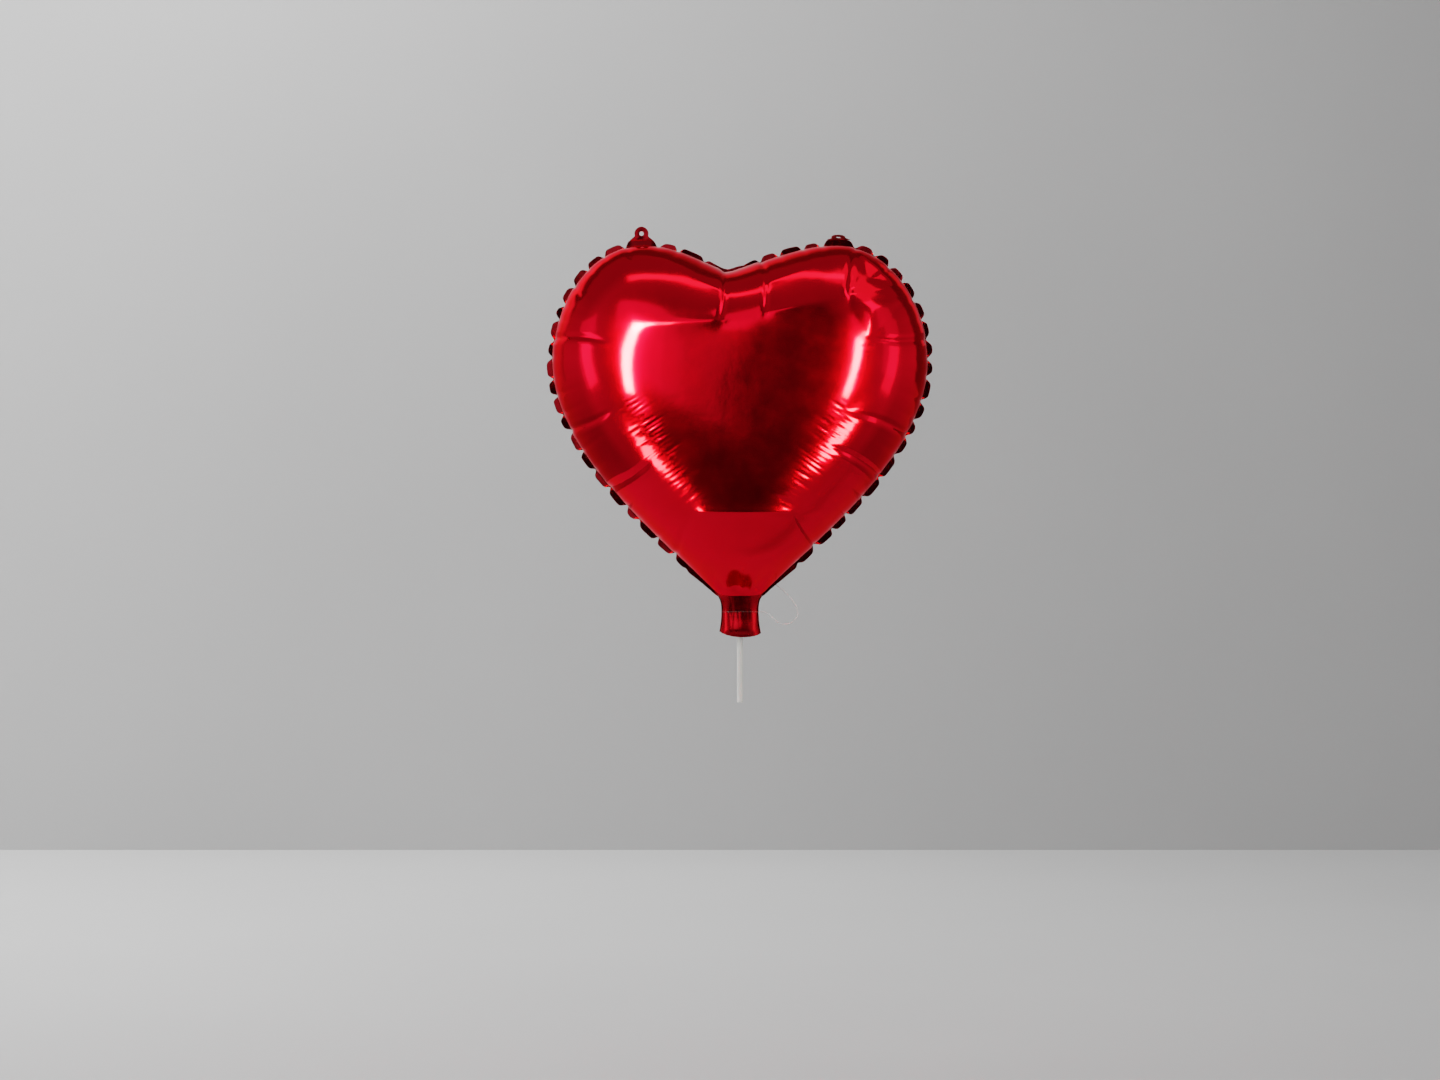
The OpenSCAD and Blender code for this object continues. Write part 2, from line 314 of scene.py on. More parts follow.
def tube(name, path, radius, sides=10, closed=False):
    """A mesh tube along the path, with round ends if it's open."""
    p = np.array(path, float)
    if closed:
        t = unit(np.roll(p, -1, 0) - np.roll(p, 1, 0))
    else:
        t = unit(np.gradient(p, axis=0))
    n = np.cross(t[0], [0.3, 0.5, 0.8])
    frames = []
    for k in range(len(p)):
        n = unit(n - (n @ t[k]) * t[k])
        frames.append((n, np.cross(t[k], n)))
    a = np.linspace(0, 2 * np.pi, sides, endpoint=False)
    circles = [np.cos(a)[:, None] * f[0] + np.sin(a)[:, None] * f[1] for f in frames]
    rings = [q + radius * circle for q, circle in zip(p, circles)]
    if not closed:
        for end, step in ((0, -1), (-1, 1)):
            caps = [
                p[end] + t[end] * step * radius * s + radius * math.sqrt(1 - s * s) * circles[end]
                for s in (0.5, 0.85, 0.99)
            ]
            rings = rings + caps if step > 0 else caps[::-1] + rings
    m, total = sides, len(rings)
    verts = np.concatenate(rings)
    faces = []
    for k in range(total if closed else total - 1):
        a0, b0 = k * m, (k + 1) % total * m
        faces += [(a0 + j, a0 + (j + 1) % m, b0 + (j + 1) % m, b0 + j) for j in range(m)]
    if not closed:
        faces += [tuple(range(m))[::-1], tuple(range((total - 1) * m, total * m))]
    return new_mesh(name, verts, faces)


loop_ends = (KNOT + np.array([-0.3, 0.8, 0.7]) * MM, KNOT + np.array([0.9, -0.3, -0.3]) * MM)
loop_path = catmull_rom([loop_ends[0], *(np.array(LOOP_MM) * MM), loop_ends[1]], 8)

loop_curve = bpy.data.curves.new("hanging_loop", "CURVE")
loop_curve.dimensions = "3D"
loop_curve.bevel_depth = THREAD_R
loop_curve.bevel_resolution = 4
loop_curve.use_fill_caps = True
spline = loop_curve.splines.new("POLY")
spline.points.add(len(loop_path) - 1)
spline.points.foreach_set("co", np.concatenate([loop_path, np.ones((len(loop_path), 1))], 1).ravel())
hanging_loop = bpy.data.objects.new("hanging_loop", loop_curve)
bpy.context.scene.collection.objects.link(hanging_loop)

# Two turns round the waist, the second a little higher.
turn = np.linspace(0, 4 * np.pi, 192) + KNOT_TURN
tie_path = np.stack(
    [
        (TIE_A - 0.15 * MM) * np.cos(turn),
        (TIE_B - 0.15 * MM) * np.sin(turn),
        WAIST_Z + 0.9 * MM * ((turn - KNOT_TURN) / (4 * np.pi) - 0.5) + 0.12 * MM * np.sin(3 * turn),
    ],
    1,
)
waist_tie = tube("waist_tie", tie_path, TIE_R)

# A trefoil.
turn = np.linspace(0, 2 * np.pi, 96, endpoint=False)
knot_path = KNOT + KNOT_SIZE * np.stack(
    [
        0.8 * np.sin(3 * turn),
        np.sin(turn) + 2 * np.sin(2 * turn),
        np.cos(turn) - 2 * np.cos(2 * turn),
    ],
    1,
)
tie_knot = tube("tie_knot", knot_path, KNOT_R, closed=True)

# --- Creases and puckers --------------------------------------------------------------
# A crease starts at a share of the way up one side's seam, from the neck to the notch. It runs
# in from the seam over its length, leaning towards the notch where lean is positive, in degrees.
# side, share, length, lean, depth

FRONT_CREASES = (
    (-1, 0.992, 58 * MM, 17, 3.6 * MM),
    (1, 0.940, 60 * MM, 16, 3.2 * MM),
    (1, 0.770, 64 * MM, -8, 3.0 * MM),
    (1, 0.700, 30 * MM, 14, 1.8 * MM),
    (1, 0.555, 62 * MM, 8, 2.6 * MM),
    (1, 0.378, 68 * MM, -11, 2.6 * MM),
    (1, 0.292, 60 * MM, -10, 2.4 * MM),
    (1, 0.128, 44 * MM, 10, 2.4 * MM),
    (-1, 0.808, 20 * MM, 0, 2.0 * MM),
    (-1, 0.684, 18 * MM, -30, 1.8 * MM),
    (-1, 0.578, 60 * MM, 1, 2.8 * MM),
    (-1, 0.405, 48 * MM, -5, 2.6 * MM),
    (-1, 0.280, 50 * MM, -8, 2.6 * MM),
    (-1, 0.110, 46 * MM, 17, 2.6 * MM),
)
REAR_CREASES = (
    (-1, 0.965, 52 * MM, 15, 3.2 * MM),
    (1, 0.975, 60 * MM, 12, 3.4 * MM),
    (1, 0.740, 52 * MM, 4, 2.6 * MM),
    (1, 0.590, 60 * MM, -6, 2.8 * MM),
    (1, 0.420, 56 * MM, 6, 2.4 * MM),
    (1, 0.255, 62 * MM, -8, 2.8 * MM),
    (1, 0.120, 40 * MM, 12, 2.4 * MM),
    (-1, 0.780, 46 * MM, -6, 2.6 * MM),
    (-1, 0.620, 58 * MM, 6, 2.8 * MM),
    (-1, 0.450, 54 * MM, -4, 2.4 * MM),
    (-1, 0.310, 64 * MM, -9, 2.8 * MM),
    (-1, 0.150, 42 * MM, 9, 2.4 * MM),
)

# Further marks on each panel, -1 for the front and 1 for the back. Places are x, z in metres.
# Tension ridges: start, end, height, width at the start, width at the end
RIDGES = {
    -1: (
        ((-0.016, 0.291), (-0.100, 0.287), 2.4 * MM, 2 * MM, 18 * MM),
        ((-0.044, 0.114), (0.076, 0.114), 1.5 * MM, 4 * MM, 4 * MM),
        ((-0.015, 0.318), (-0.075, 0.349), 1.6 * MM, 2 * MM, 10 * MM),
        ((0.022, 0.326), (0.080, 0.349), 1.6 * MM, 2 * MM, 10 * MM),
        ((0.021, 0.298), (0.095, 0.312), 1.4 * MM, 2 * MM, 14 * MM),
    ),
    1: (
        ((0.000, 0.294), (0.095, 0.286), 2.0 * MM, 2 * MM, 16 * MM),
        ((-0.020, 0.296), (-0.098, 0.292), 2.0 * MM, 2 * MM, 16 * MM),
        ((0.002, 0.322), (0.072, 0.350), 1.5 * MM, 2 * MM, 10 * MM),
    ),
}
# Crumpled facets: three corners, depth, and, if the peak is off the middle, each corner's pull
CRUMPLES = {
    -1: (
        (((0.110, 0.362), (0.095, 0.314), (0.146, 0.326)), 3.2 * MM, (2, 1, 2)),
        (((0.090, 0.326), (0.120, 0.272), (0.154, 0.314)), -1.7 * MM),
    ),
    1: (
        (((-0.118, 0.338), (-0.098, 0.318), (-0.130, 0.306)), 2.0 * MM),
        (((-0.100, 0.316), (-0.118, 0.290), (-0.136, 0.304)), -1.4 * MM),
    ),
}
# Fine wrinkles across a ridge: its start, its end, their reach and their height
WRINKLES = {
    -1: (
        ((-0.104, 0.218), (-0.036, 0.112), 15 * MM, 0.42 * MM),
        ((0.098, 0.212), (0.040, 0.114), 15 * MM, 0.42 * MM),
        ((0.128, 0.292), (0.112, 0.226), 8 * MM, 0.16 * MM),
    ),
    1: (
        ((0.104, 0.222), (0.038, 0.116), 14 * MM, 0.4 * MM),
        ((-0.100, 0.206), (-0.040, 0.112), 14 * MM, 0.4 * MM),
    ),
}

PUCKER_EVERY = 20 * MM                    # along the seam
PUCKER_DEEP = 3.2 * MM                    # how far the seam is drawn in
PUCKER_WIDE = 3.3 * MM
PUCKER_HIGH = 6.5 * MM                    # how far up the roll it reaches
PUSH_HIGH = 11 * MM                       # and how far up its push to the front or back does
TAB_X = 93.5 * MM
TAB_CLEAR = 16 * MM                       # of seam on each side of a tab without a pucker

SEAM_STEPS = 1200
seam_line = {side: seam_side(side, SEAM_STEPS) for side in (1, -1)}
seam_length = {side: arc_length(seam_line[side])[-1] for side in (1, -1)}


def tab_place(side):
    """How far along the seam the tab stands."""
    p = seam_line[side]
    upper = np.arange(len(p)) > len(p) * 0.6
    k = np.argmin(np.where(upper, np.abs(p[:, 0] * side - TAB_X), 9))
    return arc_length(p)[k]


def pucker_places(side, rng):
    """Distances along the seam at which it is drawn in: at every crease that reaches the rim,
    and between them about every PUCKER_EVERY."""
    tab = tab_place(side)
    fixed = [share * seam_length[side] for s, share, *_ in FRONT_CREASES if s == side]
    fixed = [f for f in fixed if abs(f - tab) > TAB_CLEAR]
    fixed += [tab - TAB_CLEAR, tab + TAB_CLEAR]
    fixed = sorted(fixed)
    stops = [0.0, *fixed, seam_length[side]]
    places = list(fixed)
    for a, b in zip(stops[:-1], stops[1:]):
        if a < tab < b:
            continue
        parts = max(1, round((b - a) / PUCKER_EVERY))
        for k in range(1, parts):
            places.append(a + (b - a) * (k + rng.uniform(-0.13, 0.13)) / parts)
    return sorted(places)


rng = np.random.default_rng(11)
puckers = {side: np.array(pucker_places(side, rng)) for side in (1, -1)}
pucker_deep = {side: PUCKER_DEEP * rng.uniform(0.75, 1.1, len(at)) for side, at in puckers.items()}
pucker_wide = {side: PUCKER_WIDE * rng.uniform(0.75, 1.25, len(at)) for side, at in puckers.items()}
pucker_turn = {                           # to the front and to the back in turn
    side: np.where(np.arange(len(at)) % 2, 1, -1) * rng.uniform(0.5, 1.0, len(at))
    for side, at in puckers.items()
}


def along_seam(xz):
    """For points near the seam: side, distance along it, distance in from it and the seam's
    inward normal there."""
    side = np.where(xz[:, 0] >= 0, 1, -1)
    # The notch leans to the left, so a strip right of it belongs to the right side.
    side = np.where((xz[:, 1] > NOTCH.y - 60 * MM) & (xz[:, 0] < 0) & (xz[:, 0] > NOTCH.x), 1, side)
    dist, inward, depth = np.zeros(len(xz)), np.zeros((len(xz), 2)), np.zeros(len(xz))
    for s in (1, -1):
        p = seam_line[s]
        length = arc_length(p)
        t = unit(np.gradient(p, axis=0))
        nrm = np.stack([-t[:, 1], t[:, 0]], 1) * s
        rows = np.flatnonzero(side == s)
        # The nearest of every fourth point of the line, then straight along the seam from there.
        for part in np.array_split(rows, max(1, len(rows) // 2000)):
            d = np.linalg.norm(xz[part, None] - p[None, ::4], axis=2)
            k = np.argmin(d, axis=1) * 4
            dist[part] = length[k] + ((xz[part] - p[k]) * t[k]).sum(1)
            inward[part] = nrm[k]
            depth[part] = ((xz[part] - p[k]) * nrm[k]).sum(1)
    return side, dist, depth, inward


def pucker_field(side, dist):
    """How far the seam is drawn in, and how far it is pushed to the front or back."""
    draw, push = np.zeros(len(dist)), np.zeros(len(dist))
    for s in (1, -1):
        rows = side == s
        for at, deep, wide, turn in zip(puckers[s], pucker_deep[s], pucker_wide[s], pucker_turn[s]):
            c = np.abs(dist[rows] - at)
            bell = np.exp(-((c / wide) ** 2))
            draw[rows] = np.maximum(draw[rows], deep * bell)
            push[rows] += 0.8 * MM * turn * np.exp(-((c / (9 * MM)) ** 2))
        # The seam runs smooth near the neck and the notch, and isn't pushed under a tab.
        fade = smoothstep(28 * MM, 62 * MM, dist[rows])
        fade = fade * smoothstep(6 * MM, 40 * MM, seam_length[s] - dist[rows])
        tab = smoothstep(9 * MM, 16 * MM, np.abs(dist[rows] - tab_place(s)))
        draw[rows] *= fade
        push[rows] *= fade * tab
    return draw, push


def crease_groove(xz, creases):
    """How deep each point is pressed in by the creases."""
    total = np.zeros(len(xz))
    for side, share, length, lean, deep in creases:
        p = seam_line[side]
        k = int(round(share * SEAM_STEPS))
        t = unit(p[min(k + 4, SEAM_STEPS)] - p[max(k - 4, 0)])
        inward = np.array([-t[1], t[0]]) * side
        a = math.radians(lean)
        run = inward * math.cos(a) + t * math.sin(a)
        off = xz - p[k]
        along = off @ run
        across = off @ np.array([-run[1], run[0]])
        share_in = np.clip(along / length, 0, 1)
        # It bows a little to one side.
        across = across - 0.05 * length * np.sin(np.pi * share_in) * (1 if lean > 0 else -1)
        rise = 0.7 + 0.3 * smoothstep(0, 0.25, share_in)
        tail = (1 - smoothstep(0.65, 1.0, share_in)) * (along > -8 * MM)
        wide = (2.2 - 0.5 * share_in) * MM
        c = np.abs(across) / wide
        groove = 0.75 * np.exp(-c) + 0.25 * np.exp(-((c / 2.2) ** 2))
        groove -= 0.16 * np.exp(-(((c - 2.6) / 1.2) ** 2))        # a low lip beside it
        # The film steps from one side of a crease to the other.
        overlap = 0.22 * np.tanh(across / (1.2 * MM)) * np.exp(-c / 7)
        total += deep * rise * tail * (0.36 * groove + overlap * (1 if share > 0.4 else -1))
    return total


def ridge_wrinkles(xz, start, end, reach, high, rng):
    """Short wrinkles side by side across a ridge from start to end."""
    a, b = np.array(start), np.array(end)
    run = unit(b - a)
    length = np.linalg.norm(b - a)
    off = xz - a
    u, v = off @ run, off @ np.array([-run[1], run[0]])
    total = np.zeros(len(xz))
    at = -3 * MM
    while at < length + 3 * MM:
        middle = rng.uniform(-0.35, 0.35) * reach
        span = reach * rng.uniform(0.45, 1.0)
        skew = rng.uniform(-0.08, 0.08)
        c = np.abs(u - at - skew * v) / (1.3 * MM * rng.uniform(0.7, 1.3))
        total += high * rng.uniform(0.3, 1.0) * np.exp(-c) * np.exp(-np.abs((v - middle) / span) ** 2.5)
        at += rng.uniform(3.0, 6.2) * MM
    edge = smoothstep(-8 * MM, 8 * MM, u) * (1 - smoothstep(length - 8 * MM, length + 8 * MM, u))
    return total * edge


def tension_ridge(xz, start, end, high, narrow, wide):
    """A ridge that runs out from a tight point, sharp at its start and softening."""
    a, b = np.array(start), np.array(end)
    run = unit(b - a)
    length = np.linalg.norm(b - a)
    off = xz - a
    u, v = off @ run, off @ np.array([-run[1], run[0]])
    share = np.clip(u / length, 0, 1)
    w = narrow + (wide - narrow) * share
    fade = smoothstep(-8 * MM, 12 * MM, u) * (1 - smoothstep(0.55, 1.25, u / length))
    return high * np.sqrt(w / wide) * fade * np.exp(-np.hypot(v / w, 0.35) + 0.35)


def double_area(a, b, c):
    return (b[0] - a[0]) * (c[1] - a[1]) - (b[1] - a[1]) * (c[0] - a[0])


def crumple(xz, corners, deep, peak=(1, 1, 1)):
    """A dent of three flat facets. They meet at its middle, or nearer the corners with more
    of the peak."""
    p = np.array(corners, float)
    whole = double_area(*p)
    shares = [double_area(p[(k + 1) % 3], p[(k + 2) % 3], xz.T) / whole for k in range(3)]
    peak = np.array(peak) / sum(peak)
    rise = np.array([s / k for s, k in zip(shares, peak)])
    blunt = 9                                    # higher leaves the edges between facets sharper
    return deep * np.clip(-np.log(np.exp(-blunt * np.clip(rise, -3, 3)).sum(0)) / blunt, 0, 1)


# --- The two panels -----------------------------------------------------------------------

xz, quads, seam_ids, root_n = panel_grid()
fullness = swell(xz, quads, seam_ids)


def neck_oval(xz):
    """Half the depth that the neck adds where the panel runs into it."""
    half = np.full(len(xz), HALF_W)
    for s in (1, -1):
        p = seam_line[s]
        low = p[: int(0.55 * SEAM_STEPS)]
        rows = xz[:, 0] * s >= 0
        half[rows] = np.interp(xz[rows, 1], low[:, 1], low[:, 0] * s)
    share = np.clip(np.abs(xz[:, 0]) / half, 0, 1)
    fade = 1 - smoothstep(NECK_Z + 15 * MM, NECK_Z + 90 * MM, xz[:, 1])
    return (WAIST_DEPTH + NECK_FLARE) * np.sqrt(1 - share**2) * fade


def pillow_depth(xz, phi):
    """Half the balloon's depth over the panel."""
    pillow = (HALF_DEPTH - 2.5 * MM) * np.sqrt(np.clip(1 - (1 - np.clip(phi, 0, 1)) ** BARREL, 0, None))
    opening = smoothstep(-9 * MM, 44 * MM, xz[:, 1] - NECK_Z)     # it opens slowly from the neck
    return np.hypot(pillow * np.sqrt(opening), neck_oval(xz))


def foot_gathers(xz):
    """Soft folds that fan out over the panel's foot from the tied neck."""
    way = np.arctan2(xz[:, 0], xz[:, 1] - WAIST_Z + 10 * MM)
    folds = (-0.50, 0.09, 1.0), (-0.12, 0.16, 2.2), (0.17, 0.07, 0.8), (0.46, 0.09, 1.2)
    press = sum(deep * MM * np.exp(-(((way - middle) / wide) ** 2)) for middle, wide, deep in folds)
    up = xz[:, 1] - NECK_Z
    return press * smoothstep(34 * MM, 8 * MM, up) * smoothstep(1 * MM, 9 * MM, up)


def panel(name, face, creases, seed):
    """One panel. face is -1 for the front and 1 for the back."""
    rng = np.random.default_rng(seed)
    y = face * pillow_depth(xz, fullness)
    verts = np.stack([xz[:, 0], y, xz[:, 1]], 1)
    ob = new_mesh(name, verts, quads if face < 0 else quads[:, ::-1])
    sub = ob.modifiers.new("fine", "SUBSURF")
    sub.levels = sub.render_levels = FINE
    me = apply_modifiers(ob)
    co, no = coords(me), normals(me)
    flat = co[:, [0, 2]]
    side, dist, depth, inward = along_seam(flat)

    # Creases and wrinkles press in along the surface's normal, and die out at the seam.
    off_seam = smoothstep(1 * MM, 12 * MM, np.abs(co[:, 1]))
    press = crease_groove(flat, creases) + foot_gathers(flat)
    for start, end, reach, high in WRINKLES[face]:
        press += ridge_wrinkles(flat, start, end, reach, high, rng)
    for ridge in RIDGES[face]:
        press -= tension_ridge(flat, *ridge)
    for dent in CRUMPLES[face]:
        press += crumple(flat, *dent)
    co -= no * (press * off_seam)[:, None]

    # Puckers draw the seam in between the two rolls, which keep their outline.
    draw, push = pucker_field(side, dist)
    near = np.exp(-((co[:, 1] / PUCKER_HIGH) ** 2))
    co[:, [0, 2]] += inward * (draw * near)[:, None]
    co[:, 1] += push * np.exp(-((co[:, 1] / PUSH_HIGH) ** 2))
    # The same puckers carry on over the roll as shallow dents.
    dent = draw / PUCKER_DEEP * np.exp(-np.abs(depth) / (9 * MM)) * (1 - near)
    co -= no * (0.7 * MM * dent)[:, None]
    set_coords(me, co)
    return ob


front = panel("front_film", -1, FRONT_CREASES, 3)
rear = panel("rear_film", 1, REAR_CREASES, 4)
for ob, node in ((front, "front_panel"), (rear, "rear_panel")):
    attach(ob, "envelope")
    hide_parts(node)

# --- The flange: both films sealed together outside the seam -----------------------------


def seam_loop(me):
    """The panel's outer edge from the root's left corner, right round to where the left side
    comes down to the root, without the root itself."""
    ends = np.empty(len(me.edges) * 2, int)
    me.edges.foreach_get("vertices", ends)
    ends = ends.reshape(-1, 2)
    loops = np.empty(len(me.loops), int)
    me.loops.foreach_get("edge_index", loops)
    rim = ends[np.bincount(loops, minlength=len(ends)) == 1]
    near = {}
    for a, b in rim:
        near.setdefault(int(a), []).append(int(b))
        near.setdefault(int(b), []).append(int(a))
    co = coords(me)
    start = min(near, key=lambda v: (co[v, 0] + ROOT_X) ** 2 + (co[v, 2] - NECK_Z) ** 2)
    walk = [start, max(near[start], key=lambda v: co[v, 0])]
    while walk[-1] != start:
        a, b = near[walk[-1]]
        walk.append(b if a == walk[-2] else a)
    return np.array(walk[:-1])


FLANGE_STEPS = 2200                      # points along the flange
TAB_LOBE = 1.4 * MM                      # how much wider the flange is under a tab


def flange():
    """A strip outside the seam. It stands out in lobes and is pinched where the seam is."""
    me = front.data
    co = coords(me)
    walk = seam_loop(me)
    root_steps = root_n * 2**FINE
    p = co[walk[root_steps:]]
    p = np.concatenate([p, co[walk[:1]]])
    run = arc_length(p[:, [0, 2]])
    fine = np.linspace(0, run[-1], FLANGE_STEPS)
    p = np.stack([np.interp(fine, run, p[:, k]) for k in range(3)], 1)
    side, dist, _, inward = along_seam(p[:, [0, 2]])
    draw, push = pucker_field(side, dist)
    pinch = np.clip(draw / PUCKER_DEEP, 0, 1)
    rng = np.random.default_rng(6)
    phase = rng.uniform(0, 6.28, 4)
    sway = sum(np.sin(fine / (w * MM) + f) for w, f in zip((5.1, 8.3, 13.7, 23.0), phase)) / 4
    # How far a point is from its own side's tab; the other side's counts as a metre further.
    off_tab = [np.abs(dist - tab_place(s)) + (side != s) for s in (1, -1)]
    tab = 1 - smoothstep(11 * MM, TAB_CLEAR, np.minimum(*off_tab))      # 1 under a tab
    wide = BAND_W * (1 - 0.72 * pinch) * (0.84 + 0.16 * sway * (1 - tab)) + TAB_LOBE * tab
    near_root = smoothstep(0, 50 * MM, np.minimum(fine, fine[-1] - fine))
    to_notch = np.where(side > 0, seam_length[1], seam_length[-1]) - dist
    wide = wide * (0.40 + 0.60 * near_root) * (0.5 + 0.5 * smoothstep(0, 45 * MM, to_notch))
    rows = []
    for v in (-0.10, 0.0, 0.12, 0.3, 0.5, 0.7, 0.86, 1.0):
        row = p.copy()
        row[:, [0, 2]] -= inward * (wide * v)[:, None]
        curl = (0.25 * sway + 0.9 * pinch * np.sign(push + 1e-9)) * MM * max(v, 0) ** 1.5 * (1 - tab)
        ripple = 0.06 * MM * np.sin(fine / (1.35 * MM) + 3 * sway) * v * (1 - tab) * (0.3 + 0.7 * pinch)
        row[:, 1] += curl * near_root + ripple * near_root
        rows.append(row)
    faces = grid_quads(len(rows), FLANGE_STEPS)[:, [0, 3, 2, 1]]      # turned over
    ob = new_mesh("seam_flange", np.concatenate(rows), faces)
    thick(ob, FILM_THICK)
    return ob


def thick(ob, depth):
    """Gives a sheet its thickness, half to each side."""
    mod = ob.modifiers.new("thick", "SOLIDIFY")
    mod.thickness = depth
    mod.offset = 0
    apply_modifiers(ob)
    ob.data.polygons.foreach_set("use_smooth", [True] * len(ob.data.polygons))


seam_flange = flange()

# --- The neck ---------------------------------------------------------------------------------

NECK_ACROSS, NECK_UP = 97, 73            # points of each film
GATHER_DEEP = 1.0 * MM
LIP_FLARE = 1.5 * MM


def neck_half_width(z):
    """Half the neck's width, in a smooth line from the mouth through the tied waist to the root."""
    low = WAIST_X + 2.2 * MM * np.clip(1 - z / WAIST_Z, 0, 2) ** 2
    high = WAIST_X + (ROOT_X - WAIST_X) * np.clip((z - WAIST_Z) / (NECK_Z - WAIST_Z), 0, 2) ** 3
    return np.where(z < WAIST_Z, low, high)


def neck_half_depth(z):
    mouth = 1.3 * MM * np.clip(1 - z / WAIST_Z, 0, 2) ** 1.5
    flare = NECK_FLARE * smoothstep(WAIST_Z + 3 * MM, NECK_Z + 4 * MM, z)
    tied = 0.5 * MM * np.exp(-(((z - WAIST_Z) / (4 * MM)) ** 2))
    return WAIST_DEPTH + mouth + flare - tied


def neck_side(name, face, seed):
    """The neck's front or rear film, gathered at the tie and flared at the mouth."""
    rng = np.random.default_rng(seed)
    # Of each pleat: its middle across the neck, its width, its depth and its slant.
    ranges = (-0.85, 0.85), (0.06, 0.13), (0.2, 0.7), (-1, 1)
    pleats = [[rng.uniform(*edges) for edges in ranges] for _ in range(7)]
    u = np.sin(np.linspace(-math.pi / 2, math.pi / 2, NECK_ACROSS))
    rows = []
    for t in np.linspace(0, 1, NECK_UP):
        lip = LIP_DROP * (1 - u**2) ** 0.8 * (1 if face < 0 else -0.35)
        bottom = -lip - LIP_SLANT * u
        top = NECK_Z + 2.5 * MM
        z = bottom + (top - bottom) * t
        a, b = neck_half_width(z), neck_half_depth(z)
        x = a * u
        arch = np.sqrt(np.clip(1 - u**2, 0, 1))
        y = b * arch
        # Gathers run up and down from the tie, deepest just beside it.
        gather = np.exp(-np.hypot((z - WAIST_Z) / (9 * MM), 0.3))
        up = 0.006 * (z - WAIST_Z) / MM
        fold = sum(h * np.exp(-np.abs(u - c - k * up) / w) for c, w, h, k in pleats)
        y = y - GATHER_DEEP * gather * fold * arch
        # The film flares above the lip, and the lip itself turns in again.
        flare = smoothstep(15 * MM, 4 * MM, z) - 1.1 * smoothstep(3.5 * MM, -4 * MM, z)
        y = y + LIP_FLARE * flare * arch
        rows.append(np.stack([x, face * y, z], 1))
    faces = grid_quads(NECK_UP, NECK_ACROSS)
    ob = new_mesh(name, np.concatenate(rows), faces if face < 0 else faces[:, ::-1])
    thick(ob, FILM_THICK)
    return ob


neck_front = neck_side("neck_front_film", -1, 21)
neck_rear = neck_side("neck_rear_film", 1, 22)


def neck_edges():
    """The narrow weld down each side of the neck."""
    verts, faces = [], []
    for s in (-1, 1):
        z = np.linspace(0.2 * MM - LIP_SLANT * s, NECK_Z, 80)
        a = neck_half_width(z)
        faces.append(grid_quads(3, len(z)) + len(verts))
        for v in (-0.4 * MM, 0.4 * MM, 1.2 * MM):
            wave = 0.25 * MM * np.sin(z / (2.1 * MM) + s) * max(v, 0) / MM
            verts += list(np.stack([s * (a + v), wave, z], 1))
    ob = new_mesh("neck_edge_welds", verts, np.concatenate(faces))
    thick(ob, WELD_THICK)
    return ob


neck_welds = neck_edges()

# --- The hanging tabs ----------------------------------------------------------------------------

TAB_HEAD = 6.6 * MM
TAB_BASE = 11 * MM
EYELET_R, EYELET_UP = 2.2 * MM, 5.5 * MM
TAB_TUCK = 1.0 * MM                      # how far the tab's foot laps the flange
RIGHT_FOLD = math.radians(62)


def tab(name, sign, fold, seed):
    """A flat tab with a round head round its eyelet, flaring to the fold at its foot."""
    joint = next(j for j in frame["joints"] if j["name"].startswith("left" if sign < 0 else "right"))
    rng = np.random.default_rng(seed)
    # Half the outline in the tab's own plane, from the eyelet: the foot, the flank and the head.
    hip_turn = math.radians(-18)
    hip = TAB_HEAD * np.array([math.cos(hip_turn), math.sin(hip_turn)])
    foot = np.array([TAB_BASE, -EYELET_UP - TAB_TUCK])
    bend = [foot, foot + [-1.7 * MM, 1.7 * MM], hip + [0.9 * MM, -1.6 * MM], hip]
    flank = bezier(bend, np.linspace(0, 1, 16))
    turn = np.linspace(hip_turn, math.pi / 2, 44)[1:]
    head = TAB_HEAD * np.stack([np.cos(turn), np.sin(turn)], 1)
    half = np.concatenate([[[TAB_BASE * k / 14, foot[1]] for k in range(14)], flank, head])
    line = np.concatenate([half, (half[1:-1] * [-1, 1])[::-1]])
    reach = np.linalg.norm(line, axis=1)
    way = line / reach[:, None]
    rings = 9
    # The head cups a little, the foot waves and the eyelet has a raised rim.
    verts = []
    for k in range(rings):
        share = k / (rings - 1)
        r = EYELET_R + (reach - EYELET_R) * share
        q = way * r[:, None]
        up = q[:, 1] + EYELET_UP
        cup = 0.35 * MM * (up / (12 * MM)) ** 2
        wave = np.sin(q[:, 0] / (1.7 * MM) + rng.uniform(0, 0.2))
        cup += 0.22 * MM * wave * (1 - up / (13 * MM))
        rim = 0.16 * MM * math.exp(-((share / 0.13) ** 2))
        verts.append(np.stack([q[:, 0], (cup + rim) * np.clip(up / (1.5 * MM), 0, 1), up], 1))
    verts = np.array(verts)
    n, m = verts.shape[:2]
    ids = np.arange(n * m).reshape(n, m)
    inner, outer = ids[:-1], ids[1:]
    faces = np.stack([inner, np.roll(inner, -1, 1), np.roll(outer, -1, 1), outer], -1).reshape(-1, 4)
    v = verts.reshape(-1, 3)
    y, z = v[:, 1].copy(), v[:, 2].copy()
    v[:, 1] = y * math.cos(fold) + z * math.sin(fold)
    v[:, 2] = -y * math.sin(fold) + z * math.cos(fold)
    v += np.array(joint["pos_m"])
    ob = new_mesh(name, v, faces[:, ::-1])
    thick(ob, TAB_THICK)
    return ob


left_tab = tab("left_tab_film", -1, 0.0, 31)
right_tab = tab("right_tab_film", 1, RIGHT_FOLD, 32)

